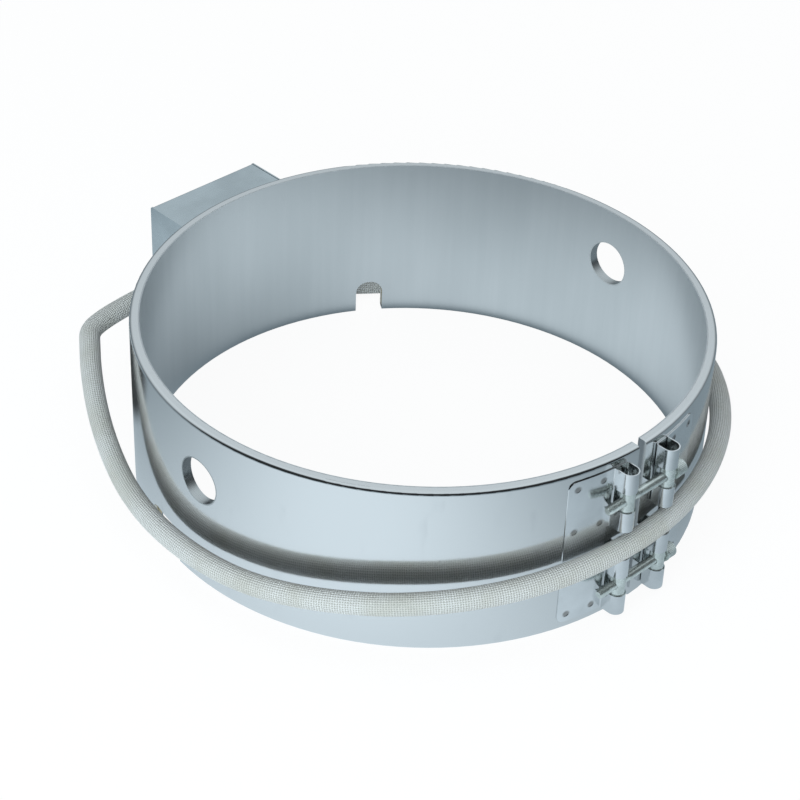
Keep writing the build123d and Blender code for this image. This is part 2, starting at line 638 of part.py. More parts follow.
def earth_wire():
    place = (0, EARTH_LUG, EARTH_STUD_HEIGHT, LUG_LEFT)
    points = wire_points(210, [(0.35, 0, 0), (0.55, 0, -0.7), (0.8, -0.15, -1.5)])
    points += [lug_mouth(*place, ahead=0.6 * WIRE_STEP), lug_mouth(*place)]
    return tube(points, WIRE_DIAMETER, even_radii(points))[0]


def lead_gland():
    """The ferrule in the box's end wall that grips the sleeve."""
    inner = -BOX_LENGTH / 2 + BOX_SHEET
    body = along_x(inner + GLAND_INSIDE - GLAND_LENGTH, LEAD_AXIS_Y, MID_HEIGHT)
    body *= disc(GLAND_DIAMETER, GLAND_LENGTH)
    flange_x = -BOX_LENGTH / 2 - GLAND_FLANGE_THICKNESS
    body += along_x(flange_x, LEAD_AXIS_Y, MID_HEIGHT) * disc(GLAND_FLANGE, GLAND_FLANGE_THICKNESS - LAYER_PLAY)
    bore = LEAD_DIAMETER + 2 * LAYER_PLAY
    return body - along_x(flange_x - GLAND_LENGTH, LEAD_AXIS_Y, MID_HEIGHT) * disc(bore, 3 * GLAND_LENGTH)


# The lead's route: out of the gland, a tight bend at the left, round the front through the
# space between the loops, round the right side, and down to the floor behind the band.
LEAD_ROUTE = [
    (LEAD_START_X, LEAD_AXIS_Y, MID_HEIGHT),
    (-51, LEAD_AXIS_Y, 50),
    (-71, 166, 50),
    (-90, 163.5, 50),
    (-102.5, 159.5, 49.8),
    (-109.5, 150, 48.7),
    (-120.5, 135, 46),
    (-132.4, 116, 41.5),
    (-142, 97.5, 36),
    (-150.5, 77, 31),
    (-157.8, 55, 27.4),
    (-163, 30, 26),
    (-165.6, 3, 27),
    (-165, -24, 29),
    (-160.5, -48, 31),
    (-151.5, -72.5, 34.3),
    (-138.7, -94.8, 37.4),
    (-123.4, -114, 39.8),
    (-101.4, -132.7, 42),
    (-75.9, -147.5, 43.8),
    (-49.9, -157.3, 45.7),
    (-23.4, -162.7, 47.6),
    (2.9, -164.1, 48.6),
    (29.1, -161.4, 49.5),
    (53.8, -154.6, 50),
    (77.2, -143.9, 50),
    (99, -130, 49.7),
    (121, -110, 48.6),
    (142, -83.5, 45.5),
    (157.5, -50.5, 40),
    (166.5, -15, 33.5),
    (167.5, 21, 26),
    (159, 56.5, 18.5),
    (143.5, 88, 12),
    (123, 114, 7.8),
    (101, 134, 6.3),
    (84, 147, 6.2),
    (71, 161, 6.2),
]


def lead_sleeve():
    radii = even_radii(LEAD_ROUTE)
    body, path = tube(LEAD_ROUTE, LEAD_DIAMETER, radii)
    expected = math.pi * LEAD_DIAMETER ** 2 / 4 * path.length
    print("lead radii", [round(r) for r in radii])
    print("lead length %.0f, volume over section times length %.4f" % (path.length, body.volume / expected))
    return body


def lead_tails():
    """The three bare-ended wires that come out of the sleeve's far end."""
    end, before = Vector(*LEAD_ROUTE[-1]), Vector(*LEAD_ROUTE[-2])
    ahead = (end - before).normalized()
    side = Vector(-ahead.Y, ahead.X, 0)
    drop = LEAD_ROUTE[-1][2] - WIRE_DIAMETER / 2 - LAYER_PLAY
    tails = []
    for shift in (-1, 0, 1):
        spread = side * (TAIL_SPREAD * shift)
        first = end + side * (TAIL_PITCH * shift) + ahead * (WIRE_DIAMETER / 4)
        second = first + ahead * (TAIL_LENGTH * 0.5) + spread * 0.4 - Vector(0, 0, drop * 0.8)
        third = second + ahead * (TAIL_LENGTH * 0.48) + spread * 0.6 - Vector(0, 0, drop * 0.2)
        points = [tuple(first), tuple(second), tuple(third)]
        tails.append(tube(points, WIRE_DIAMETER, even_radii(points))[0])
    return Compound(tails)


def build():
    """Every node of the heater by name."""
    nodes = {
        "outer_sheath": outer_sheath(),
        "inner_sheath": inner_sheath(),
        "inner_mica": layer(INNER_MICA_IN, INNER_MICA_IN + INNER_MICA),
        "mica_core": layer(CORE_IN, CORE_IN + CORE_CARD),
        "heating_ribbon": heating_ribbon(),
        "outer_mica": layer(OUTER_MICA_IN, OUTER_MICA_IN + OUTER_MICA, studs=True),
        "insulation_blanket": layer(BLANKET_IN, BLANKET_OUT, studs=True),
        "left_hole_liner": hole_liner(-1),
        "right_hole_liner": hole_liner(1),
        "left_clamp_strap": strap(-1),
        "right_clamp_strap": strap(1),
        "terminal_box_base": terminal_box_base(),
        "terminal_box_cover": terminal_box_cover(),
        "cover_screws": cover_screws(),
        "terminal_insulators": terminal_insulators(),
        "terminal_studs": terminal_studs(),
        "terminal_nuts": terminal_nuts(),
        "terminal_washers": terminal_washers(),
        "ring_terminals": ring_terminals(),
        "earth_stud": earth_stud(),
        "earth_nut": earth_nut(),
        "earth_washer": earth_washer(),
        "live_wire": live_wire(),
        "neutral_wire": neutral_wire(),
        "earth_wire": earth_wire(),
        "lead_gland": lead_gland(),
        "lead_sleeve": lead_sleeve(),
        "lead_tails": lead_tails(),
    }
    for name, height in (("upper", UPPER_SCREW_Z), ("lower", LOWER_SCREW_Z)):
        nodes[name + "_threaded_barrel"] = barrel(-KNUCKLE_X, height, SCREW_DIAMETER + THREAD_PLAY)
        nodes[name + "_plain_barrel"] = barrel(KNUCKLE_X, height, SCREW_DIAMETER + PLAIN_HOLE_PLAY)
        nodes[name + "_screw_washer"] = screw_washer(height)
        nodes[name + "_clamp_screw"] = clamp_screw(height)
    return nodes


os.makedirs("parts", exist_ok=True)
for node, shape in build().items():
    export_step(shape, os.path.join("parts", node + ".step"))
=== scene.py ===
import math

import bmesh
import bpy
from mathutils import Matrix, Vector


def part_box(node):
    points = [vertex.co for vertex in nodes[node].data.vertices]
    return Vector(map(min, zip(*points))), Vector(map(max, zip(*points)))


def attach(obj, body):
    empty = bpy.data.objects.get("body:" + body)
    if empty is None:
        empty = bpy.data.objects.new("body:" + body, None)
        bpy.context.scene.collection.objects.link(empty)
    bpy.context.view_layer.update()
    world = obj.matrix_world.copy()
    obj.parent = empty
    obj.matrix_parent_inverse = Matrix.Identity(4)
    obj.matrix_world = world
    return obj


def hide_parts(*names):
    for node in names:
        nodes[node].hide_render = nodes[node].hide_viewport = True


# Band heater: mirror-bright sheath, satin bore, welded clamp straps with barrels and screws,
# a folded terminal box and a woven lead that wraps the band. Lengths are in metres.
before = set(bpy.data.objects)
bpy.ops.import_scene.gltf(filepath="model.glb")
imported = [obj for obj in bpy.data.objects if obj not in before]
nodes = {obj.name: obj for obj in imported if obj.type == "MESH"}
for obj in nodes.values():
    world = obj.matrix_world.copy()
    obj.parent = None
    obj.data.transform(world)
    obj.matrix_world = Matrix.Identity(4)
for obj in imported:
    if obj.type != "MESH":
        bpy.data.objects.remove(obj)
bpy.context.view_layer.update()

# Sizes of the solids that no box gives
RIM_RADIUS = 0.002
INNER_SHEET = 0.0006
STRAP_SHEET = 0.0006
LINER_SHEET = 0.0006
STRAP_GAP = 0.00005
ROLL_BORE_RADIUS = 0.0041

# Sizes read from the parts in model.glb
BORE_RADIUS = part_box("inner_sheath")[1].x - INNER_SHEET
BAND_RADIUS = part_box("outer_sheath")[1].x
BAND_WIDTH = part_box("outer_sheath")[1].z
STRAP_END_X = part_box("right_clamp_strap")[1].x
BARREL_LOW, BARREL_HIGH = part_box("upper_plain_barrel")
BARREL_X = (BARREL_LOW.x + BARREL_HIGH.x) / 2
BARREL_Y = (BARREL_LOW.y + BARREL_HIGH.y) / 2
BARREL_RADIUS = (BARREL_HIGH.x - BARREL_LOW.x) / 2
LINER_LOW, LINER_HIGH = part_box("right_hole_liner")
SENSOR_HOLE_HEIGHT = (LINER_LOW.z + LINER_HIGH.z) / 2
SENSOR_HOLE_OUT = (LINER_HIGH.z - LINER_LOW.z) / 2
STRAP_SEAT = BAND_RADIUS + STRAP_GAP
WELD_COLUMNS = (STRAP_END_X - 0.020, STRAP_END_X - 0.005)
WELD_ROWS = (0.0100, 0.0367, 0.0633, 0.0900)
WELD_BURN = (0.0009, 0.0027)

# Camera, fitted to the ellipses of both rims
CAMERA_DISTANCE = 1.270
CAMERA_ELEVATION = 37.80
CAMERA_AZIMUTH = 45.59
CAMERA_YAW = -0.488
CAMERA_PITCH = 1.465
CAMERA_ROLL = 2.633
CAMERA_LENS = 102.66
SENSOR_WIDTH = 36.0
CAMERA_NEAR = 0.01
CAMERA_FAR = 30.0

# Lead
LEAD_DIAMETER = 0.012
LEAD_ROUTE = [
    (-0.0352, 0.1670, 0.0500),
    (-0.0510, 0.1670, 0.0500),
    (-0.0710, 0.1660, 0.0500),
    (-0.0900, 0.1635, 0.0500),
    (-0.1025, 0.1595, 0.0498),
    (-0.1095, 0.1500, 0.0487),
    (-0.1205, 0.1350, 0.0460),
    (-0.1324, 0.1160, 0.0415),
    (-0.1420, 0.0975, 0.0360),
    (-0.1505, 0.0770, 0.0310),
    (-0.1578, 0.0550, 0.0274),
    (-0.1630, 0.0300, 0.0260),
    (-0.1656, 0.0030, 0.0270),
    (-0.1650, -0.0240, 0.0290),
    (-0.1605, -0.0480, 0.0310),
    (-0.1515, -0.0725, 0.0343),
    (-0.1387, -0.0948, 0.0374),
    (-0.1234, -0.1140, 0.0398),
    (-0.1014, -0.1327, 0.0420),
    (-0.0759, -0.1475, 0.0438),
    (-0.0499, -0.1573, 0.0457),
    (-0.0234, -0.1627, 0.0476),
    (0.0029, -0.1641, 0.0486),
    (0.0291, -0.1614, 0.0495),
    (0.0538, -0.1546, 0.0500),
    (0.0772, -0.1439, 0.0500),
    (0.0990, -0.1300, 0.0497),
    (0.1210, -0.1100, 0.0486),
    (0.1420, -0.0835, 0.0455),
    (0.1575, -0.0505, 0.0400),
    (0.1665, -0.0150, 0.0335),
    (0.1675, 0.0210, 0.0260),
    (0.1590, 0.0565, 0.0185),
    (0.1435, 0.0880, 0.0120),
    (0.1230, 0.1140, 0.0078),
    (0.1010, 0.1340, 0.0063),
    (0.0840, 0.1470, 0.0062),
    (0.0710, 0.1610, 0.0062),
]
WEAVE_PITCH = 0.0013
WEAVE_DEPTH = 0.00011
SLEEVE_RIBS = 29
LEAD_STEPS = 24

# Wires that come out of the lead's far end
WIRE_DIAMETER = 0.0026
WIRE_SIDES = 14
WIRE_STEPS = 12
BRAID_RIPPLES = 5200.0
TAIL_LENGTH = 0.045
TAIL_PITCH = 0.0034
TAIL_SPREAD = 0.0065
TAIL_START = 0.002
TAIL_ARCH = 0.0006
# Two stretches of each wire: share of its length, of its spread and of its drop to the floor
TAIL_STRETCHES = [(0.5, 0.4, 0.8), (0.37, 0.6, 0.2)]
FLOOR_GAP = 0.0001
STRIPPED_START = 0.001
STRIPPED_MIDDLE = 0.0018
STRIPPED_LENGTH = 0.0045
COPPER_RADIUS = 0.0009

# Clamp screws
SCREW_RADIUS = 0.0025
HEAD_LENGTH = 0.006
THREAD_LENGTH = 0.022
THREAD_PITCH = 0.0008
THREAD_DEPTH = 0.00045
THREAD_STEPS = 6
HEAD_RIBS = 36
HEAD_RIB_DEPTH = 0.00022
HEAD_RIB_START = 0.0008
HEAD_RIB_END = 0.0009
# Edges of the head: distance from its end, distance inside its radius
HEAD_FOOT = [(0.0, 0.0006), (0.0004, 0.0001)]
HEAD_CROWN = [(0.0004, 0.0002), (0.0, 0.0007)]
SOCKET_FLAT = 0.002
SOCKET_DEPTH = 0.0026
SOCKET_POINT = 0.0008
SOCKET_MOUTH = 1.25 * SOCKET_FLAT
SOCKET_CHAMFER = 0.00025
TIP_CHAMFER = 0.0008
TIP_TAPER = 0.9
THREAD_START = 0.0004
NECK_RISE = 0.0002
NECK_LENGTH = 0.0003
SCREW_SIDES = 72
SCREW_MERGE = 0.00002

# Shading of round faces
MERGE_DISTANCE = 0.000001
ROUND_TOLERANCE = 0.00002
ROUND_AGREEMENT = 0.4
CRISP_ANGLE = math.radians(38)
SLIVER_AREA = 2e-9

# Share of the tint in the dark of the clouds
SHEET_CLOUDS = 0.86
ZINC_CLOUDS = 0.80

# Floor: white to the camera, and to metal a painted reflection, bright round one spot at the left and
# one inside the band
FLOOR_HALF = 3.0
FLOOR_DROP = 0.0002
FLOOR_WHITE = 1.05
CAMERA_SHARE = 0.88
GLOSSY_SHARE = 0.9
FLOOR_SPOT = (-0.22, -0.12)
FLOOR_FALL = (0.02, 0.39)
FLOOR_BRIGHT = (0.87, 1.0, 1.09)
FLOOR_DIM = (0.21, 0.27, 0.31)
INNER_SPOT = (0.10, 0.035)
INNER_FALL = (0.01, 0.24)
INNER_BRIGHT = (0.88, 1.0, 1.07)
INNER_DIM = (0.16, 0.20, 0.23)
INNER_EDGE = 0.01
# Painted reflections: dim or black patches behind the band that only metal sees: centre, radius of the
# core, radius of the edge, strength
FLOOR_PATCHES = [
    (-0.120, 0.262, 0.030, 0.060, 0.72),
    (-0.100, 0.185, 0.030, 0.055, 0.0),
]

# Room: dark in front, bright at the back and overhead
ROOM_FRONT = (-0.22, 0.22)
ROOM_CEILING = (0.80, 0.95)
ROOM_LOW = (0.18, 0.21, 0.23)
ROOM_HIGH = (0.72, 0.80, 0.85)
ROOM_RISE = 0.75
ROOM_DARK = 0.95
ROOM_FILL = (0.37, 0.40, 0.415)

# Lamps: place, side, power, colour
LAMPS = {
    "top_lamp": ((-0.3, -0.2, 1.9), 1.4, 3.5, (0.86, 0.97, 1.0)),
    "left_lamp": ((-1.65, -0.85, 0.8), 1.7, 29.0, (0.84, 0.96, 1.0)),
}


class Signal:
    """A socket of a node tree that can stand in arithmetic."""

    def __init__(self, graph, socket):
        self.graph = graph
        self.socket = socket

    def maths(self, operation, *values):
        return self.graph.node("ShaderNodeMath", {"operation": operation}, *values)

    def __add__(self, other):
        return self.maths("ADD", self, other)

    __radd__ = __add__

    def __sub__(self, other):
        return self.maths("SUBTRACT", self, other)

    def __rsub__(self, other):
        return self.maths("SUBTRACT", other, self)

    def __mul__(self, other):
        return self.maths("MULTIPLY", self, other)

    __rmul__ = __mul__

    def __truediv__(self, other):
        return self.maths("DIVIDE", self, other)

    def __pow__(self, other):
        return self.maths("POWER", self, other)

    def __mod__(self, other):
        return self.maths("MODULO", self, other)

    def floor(self):
        return self.maths("FLOOR", self)

    def sine(self):
        return self.maths("SINE", self)

    def cosine(self):
        return self.maths("COSINE", self)

    def size(self):
        return self.maths("ABSOLUTE", self)

    def ramp(self, low, high):
        """0 below low, 1 above high and smooth between them."""
        smooth = {"interpolation_type": "SMOOTHSTEP"}
        return self.graph.node("ShaderNodeMapRange", smooth, self, low, high)


class Graph:
    """A node tree that is filled by calls."""

    COLOUR_INPUTS = (6, 7)
    COLOUR_OUTPUT = 2

    def __init__(self, tree):
        self.tree = tree

    def put(self, socket, value):
        if isinstance(value, Signal):
            self.tree.links.new(value.socket, socket)
        else:
            socket.default_value = value

    def node(self, kind, settings=None, *values, output=0, **named):
        """Add a node, set it up, fill its sockets in order or by name, and give one output."""
        made = self.tree.nodes.new(kind)
        for key, value in (settings or {}).items():
            setattr(made, key, value)
        for socket, value in zip(made.inputs, values):
            self.put(socket, value)
        for key, value in named.items():
            self.put(made.inputs[key.replace("_", " ")], value)
        return Signal(self, made.outputs[output])

    def split(self, vector):
        """The three parts of a vector as signals."""
        first = self.node("ShaderNodeSeparateXYZ", None, vector)
        return [Signal(self, part) for part in first.socket.node.outputs]

    def join(self, x, y, z):
        return self.node("ShaderNodeCombineXYZ", None, x, y, z)

    def noise(self, where, scale, detail=2.0):
        return self.node("ShaderNodeTexNoise", None, Vector=where, Scale=scale, Detail=detail)

    def blend(self, factor, first, second):
        """Mix two colours."""
        mixed = self.node("ShaderNodeMix", {"data_type": "RGBA"}, factor, output=self.COLOUR_OUTPUT)
        for index, tint in zip(self.COLOUR_INPUTS, (first, second)):
            self.put(mixed.socket.node.inputs[index], tint)
        return mixed


class Finish(Graph):
    """One material: a principled surface whose sockets are set by value or by a signal."""

    def __init__(self, name, **sockets):
        self.material = bpy.data.materials.new(name)
        self.material.use_nodes = True
        super().__init__(self.material.node_tree)
        self.surface = self.tree.nodes["Principled BSDF"]
        for socket, value in sockets.items():
            self.set(socket.replace("_", " "), value)

    def set(self, socket, value):
        """Give one socket of the surface a value or a signal."""
        self.put(self.surface.inputs[socket], value)

    def paint(self, tone):
        """Set the base colour, and remember it so that a mark can be laid over it."""
        self.tone = tone
        self.set("Base Color", tone)

    def mark(self, share, tint):
        """Lay a mark over the base colour."""
        self.paint(self.blend(share, self.tone, tint))

    def place(self):
        return self.node("ShaderNodeTexCoord", output="Object")

    def attribute(self, name):
        return self.node("ShaderNodeAttribute", {"attribute_name": name}, output="Fac")

    def bump(self, height, strength, distance):
        bumped = self.node("ShaderNodeBump", None, Strength=strength, Distance=distance, Height=height)
        self.set("Normal", bumped)


class Recipe(Graph):
    """A Geometry Nodes tree with named inputs, which turns one object into a plain mesh."""

    KINDS = {
        int: "NodeSocketInt",
        float: "NodeSocketFloat",
        bpy.types.Material: "NodeSocketMaterial",
    }

    def __init__(self, name, **inputs):
        super().__init__(bpy.data.node_groups.new(name, "GeometryNodeTree"))
        face = self.tree.interface
        face.new_socket("Geometry", in_out="INPUT", socket_type="NodeSocketGeometry")
        face.new_socket("Geometry", in_out="OUTPUT", socket_type="NodeSocketGeometry")
        self.inputs = inputs
        self.identifiers = {}
        for label, value in inputs.items():
            socket = face.new_socket(label, in_out="INPUT", socket_type=self.KINDS[type(value)])
            self.identifiers[label] = socket.identifier
        self.entry = self.tree.nodes.new("NodeGroupInput")
        self.exit = self.tree.nodes.new("NodeGroupOutput")

    def input(self, label):
        return Signal(self, self.entry.outputs[label])

    def end(self, geometry):
        """Close the tree: realized, with its material."""
        realized = self.node("GeometryNodeRealizeInstances", None, geometry)
        finished = self.node("GeometryNodeSetMaterial", None, realized, Material=self.input("Material"))
        self.put(self.exit.inputs[0], finished)

    def run(self, name, source):
        """Run the tree on an object and give the result as a new object; the source is removed."""
        modifier = source.modifiers.new(name, "NODES")
        modifier.node_group = self.tree
        for label, identifier in self.identifiers.items():
            modifier[identifier] = self.inputs[label]
        evaluated = source.evaluated_get(bpy.context.evaluated_depsgraph_get())
        mesh = bpy.data.meshes.new_from_object(evaluated)
        bpy.data.objects.remove(source)
        mesh.name = name
        piece = bpy.data.objects.new(name, mesh)
        bpy.context.scene.collection.objects.link(piece)
        return piece


def colour(red, green, blue):
    return (red, green, blue, 1.0)


def shade(tint, share):
    """A tint that is dimmed to a share."""
    return colour(*(share * part for part in tint))


# Metals
def wrapped(finish):
    """Azimuth in radians and height in metres of a point on the band."""
    x, y, z = finish.split(finish.place())
    return finish.node("ShaderNodeMath", {"operation": "ARCTAN2"}, y, x), z


def band_streaks(finish, along, across):
    """Noise on the sheet as it lay flat, in ripples per metre along the band and up it."""
    azimuth, height = wrapped(finish)
    return finish.noise(finish.join(azimuth * BAND_RADIUS * along, height * across, 0.0), 1.0, 3.0)


def polished_sheath():
    """Mirror-bright sheet, very slightly uneven, with faint handling marks."""
    finish = Finish("polished_sheath", Metallic=1.0)
    marks = band_streaks(finish, 70.0, 28.0).ramp(0.58, 0.80)
    bright, dull = colour(0.74, 0.75, 0.75), colour(0.63, 0.64, 0.65)
    finish.paint(finish.blend(marks * 0.4, bright, dull))
    finish.set("Roughness", 0.09 + band_streaks(finish, 9.0, 5.0) * 0.05 + marks * 0.05)
    finish.bump(band_streaks(finish, 16.0, 6.0), 0.06, 0.0006)
    return finish.material


def satin_bore():
    """Matt side of the sheet: soft clouds and faint streaks that run up the wall."""
    finish = Finish("satin_bore", Metallic=1.0)
    streaks = band_streaks(finish, 150.0, 7.0)
    tone = (band_streaks(finish, 11.0, 5.0) * 0.75 + streaks * 0.25).ramp(0.30, 0.72)
    finish.paint(finish.blend(tone, colour(0.54, 0.565, 0.575), colour(0.635, 0.655, 0.665)))
    finish.set("Roughness", 0.30 + streaks * 0.06)
    finish.bump(streaks, 0.05, 0.0003)
    return finish.material


def sheet_metal(name, tint, rough, grain=(900.0, 60.0, 900.0)):
    """Cold-rolled sheet with a fine grain and faint clouds."""
    finish = Finish(name, Metallic=1.0)
    x, y, z = finish.split(finish.place())
    lines = finish.noise(finish.join(x * grain[0], y * grain[1], z * grain[2]), 1.0)
    clouds = finish.noise(finish.place(), 45.0, 3.0).ramp(0.3, 0.7)
    finish.paint(finish.blend(clouds, shade(tint, SHEET_CLOUDS), colour(*tint)))
    finish.set("Roughness", rough + lines * 0.08)
    finish.bump(lines, 0.05, 0.0002)
    return finish


def strap_sheet():
    """Strap sheet with the brown spot of each weld."""
    finish = sheet_metal("strap_sheet", (0.85, 0.87, 0.88), 0.12)
    x, _, z = finish.split(finish.place())
    burn = 0.0
    for column in WELD_COLUMNS:
        for row in WELD_ROWS:
            burn = burn + (1.0 - reach(x.size(), z, column, row).ramp(*WELD_BURN))
    finish.mark(burn * 0.7, colour(0.17, 0.15, 0.13))
    return finish.material


def zinc_plate(name, tint=(0.80, 0.86, 0.83), rough=0.20):
    """Bright zinc plate: slightly green, slightly uneven, with a thin pale bloom."""
    finish = Finish(name, Metallic=0.82)
    clouds = finish.noise(finish.place(), 260.0, 3.0)
    finish.paint(finish.blend(clouds.ramp(0.35, 0.7), shade(tint, ZINC_CLOUDS), colour(*tint)))
    finish.set("Roughness", rough + clouds * 0.12)
    finish.bump(clouds, 0.05, 0.0002)
    return finish.material


# Inner pieces
def mottled(name, dark, light, scale, rough, bump=0.2, metallic=0.0):
    """A plain material with fine uneven colour: mica, fibre, ceramic, bare alloy."""
    finish = Finish(name, Roughness=rough, Metallic=metallic)
    clouds = finish.noise(finish.place(), scale, 4.0)
    finish.paint(finish.blend(clouds, colour(*dark), colour(*light)))
    finish.bump(clouds, bump, 0.0003)
    return finish.material


# Textiles
def woven_sleeve():
    """Glass sleeve: a grid of pale knots in rows along it, with painted shade in the gaps between them.
    """
    finish = Finish("woven_sleeve", Roughness=0.85, Sheen_Weight=0.15)
    along = finish.attribute("along")
    across, upward = finish.attribute("across"), finish.attribute("upward")
    angle = finish.node("ShaderNodeMath", {"operation": "ARCTAN2"}, upward, across)
    unrest = finish.noise(finish.place(), 420.0) - 0.5
    rows = (angle * float(SLEEVE_RIBS) + unrest * 1.2).cosine()
    picks = (along * (2 * math.pi / WEAVE_PITCH) + unrest * 2.4).cosine()
    knots = (rows + picks) * 0.5
    wear = finish.noise(finish.place(), 38.0, 3.0).ramp(0.38, 0.72)
    # The gap colour is painted shade between the knots; the worn tint is random wear of the yarn
    clean, worn, gap_shade = colour(0.84, 0.84, 0.835), colour(0.71, 0.70, 0.655), colour(0.47, 0.46, 0.42)
    yarn = finish.blend(wear, clean, worn)
    finish.paint(finish.blend(knots.ramp(-0.9, 0.35), gap_shade, yarn))
    finish.bump(knots, 0.7, 0.0004)
    return finish.material


def glass_braid():
    """Braid on the single wires, with painted shade in the gaps of the weave."""
    finish = Finish("glass_braid", Roughness=0.8, Sheen_Weight=0.2)
    x, y, z = finish.split(finish.place())
    weave = ((x + y) * BRAID_RIPPLES).sine() * ((z - x + y) * BRAID_RIPPLES).sine()
    # The gap colour is painted shade between the yarns of the braid
    gap_shade, yarn = colour(0.50, 0.48, 0.42), colour(0.80, 0.78, 0.72)
    finish.paint(finish.blend(weave.ramp(-0.8, 0.4), gap_shade, yarn))
    finish.bump(weave, 0.4, 0.0002)
    return finish.material


# Round normals: a copy of a solid's mesh is shaded by the shapes that it was cut from
def upright(x, y, radius):
    """Normals of a cylinder along Z."""
    def normal_at(place):
        away = Vector((place.x - x, place.y - y, 0.0))
        return away.normalized() if abs(away.length - radius) < ROUND_TOLERANCE else None
    return normal_at


def crosswise(height, radius):
    """Normals of a cylinder along X through the band's axis."""
    def normal_at(place):
        away = Vector((0.0, place.y, place.z - height))
        return away.normalized() if abs(away.length - radius) < ROUND_TOLERANCE else None
    return normal_at


def rim(height):
    """Normals of the rounded outer edge of the band at one rim."""
    def normal_at(place):
        outwards = Vector((place.x, place.y, 0.0)).normalized()
        away = place - outwards * (BAND_RADIUS - RIM_RADIUS) - Vector((0.0, 0.0, height))
        return away.normalized() if abs(away.length - RIM_RADIUS) < ROUND_TOLERANCE else None
    return normal_at


def shaded_copy(name, node, material, rounds):
    """A merged copy of a CAD node with true normals on its round faces and crisp edges elsewhere."""
    mesh = nodes[node].data.copy()
    shape = bmesh.new()
    shape.from_mesh(mesh)
    bmesh.ops.remove_doubles(shape, verts=shape.verts, dist=MERGE_DISTANCE)
    for face in shape.faces:
        face.smooth = True
    for edge in shape.edges:
        slim = min(face.calc_area() for face in edge.link_faces) < SLIVER_AREA
        edge.smooth = slim or len(edge.link_faces) != 2 or edge.calc_face_angle(0.0) < CRISP_ANGLE
    shape.to_mesh(mesh)
    shape.free()
    normals = [corner.vector.copy() for corner in mesh.corner_normals]
    for face in mesh.polygons:
        for corner in face.loop_indices:
            place = mesh.vertices[mesh.loops[corner].vertex_index].co
            for normal_at in rounds:
                exact = normal_at(place)
                turn = exact.dot(normals[corner]) if exact else 0.0
                if abs(turn) > ROUND_AGREEMENT:
                    normals[corner] = exact if turn > 0 else -exact
                    break
    mesh.normals_split_custom_set(normals)
    mesh.materials.clear()
    mesh.materials.append(material)
    mesh.name = name
    piece = bpy.data.objects.new(name, mesh)
    bpy.context.scene.collection.objects.link(piece)
    return piece


def dress(name, node, material, rounds):
    """Put a shaded copy in the place of a node of the heater."""
    piece = shaded_copy(name, node, material, rounds)
    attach(piece, "heater")
    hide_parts(node)


def dress_metal(zinc):
    """The polished, satin and rolled pieces that show their curves."""
    sheath_rounds = [rim(RIM_RADIUS), rim(BAND_WIDTH - RIM_RADIUS), upright(0, 0, BAND_RADIUS)]
    dress("polished_band", "outer_sheath", polished_sheath(), sheath_rounds)
    dress("satin_inner_band", "inner_sheath", satin_bore(), [upright(0, 0, BORE_RADIUS)])
    liner = sheet_metal("liner_sheet", (0.55, 0.57, 0.57), 0.24).material
    liner_rounds = [
        crosswise(SENSOR_HOLE_HEIGHT, SENSOR_HOLE_OUT - LINER_SHEET),
        crosswise(SENSOR_HOLE_HEIGHT, SENSOR_HOLE_OUT),
    ]
    strap = strap_sheet()
    for side, sign in (("left", -1), ("right", 1)):
        dress(side + "_hole_ring", side + "_hole_liner", liner, liner_rounds)
        roll = (sign * BARREL_X, BARREL_Y)
        strap_rounds = [
            upright(0, 0, STRAP_SEAT + STRAP_SHEET),
            upright(0, 0, STRAP_SEAT),
            upright(*roll, ROLL_BORE_RADIUS),
            upright(*roll, ROLL_BORE_RADIUS + STRAP_SHEET),
        ]
        dress(side + "_folded_strap", side + "_clamp_strap", strap, strap_rounds)
    for end in ("upper", "lower"):
        for kind, sign in (("threaded", -1), ("plain", 1)):
            pin_rounds = [upright(sign * BARREL_X, BARREL_Y, BARREL_RADIUS)]
            dress(f"{end}_{kind}_pin", f"{end}_{kind}_barrel", zinc, pin_rounds)


# Pieces whose CAD mesh is kept
def give(material, *names):
    """Put one material on CAD nodes."""
    for name in names:
        mesh = nodes[name].data
        mesh.materials.clear()
        mesh.materials.append(material)


def finish_nodes(zinc, braid):
    """The finish of every piece whose CAD shape shows."""
    box = sheet_metal("box_sheet", (0.60, 0.665, 0.69), 0.24, (60.0, 900.0, 900.0))
    give(box.material, "terminal_box_base", "terminal_box_cover")
    give(zinc, "upper_screw_washer", "lower_screw_washer", "cover_screws", "lead_gland")
    mica = mottled("mica_board", (0.50, 0.42, 0.27), (0.72, 0.66, 0.50), 180.0, 0.45)
    give(mica, "inner_mica", "mica_core", "outer_mica")
    paper = mottled("fibre_paper", (0.72, 0.70, 0.64), (0.90, 0.89, 0.85), 420.0, 0.95, 0.5)
    give(paper, "insulation_blanket")
    alloy = mottled("ribbon_alloy", (0.22, 0.20, 0.18), (0.40, 0.38, 0.35), 300.0, 0.42, 0.1, 1.0)
    give(alloy, "heating_ribbon")
    steatite = mottled("steatite", (0.78, 0.75, 0.68), (0.88, 0.86, 0.81), 200.0, 0.5, 0.1)
    give(steatite, "terminal_insulators")
    plated = zinc_plate("plated_steel", (0.55, 0.55, 0.52), 0.28)
    give(plated, "terminal_studs", "terminal_nuts", "terminal_washers")
    give(plated, "earth_stud", "earth_nut", "earth_washer")
    give(zinc_plate("tinned_lug", (0.66, 0.65, 0.61), 0.30), "ring_terminals")
    give(braid, "live_wire", "neutral_wire", "earth_wire")


# Meshes
def mesh_piece(name, vertices, faces, material):
    """A smooth-shaded mesh object at the origin."""
    mesh = bpy.data.meshes.new(name)
    mesh.from_pydata(vertices, [], faces)
    mesh.materials.append(material)
    for polygon in mesh.polygons:
        polygon.use_smooth = True
    piece = bpy.data.objects.new(name, mesh)
    bpy.context.scene.collection.objects.link(piece)
    return piece


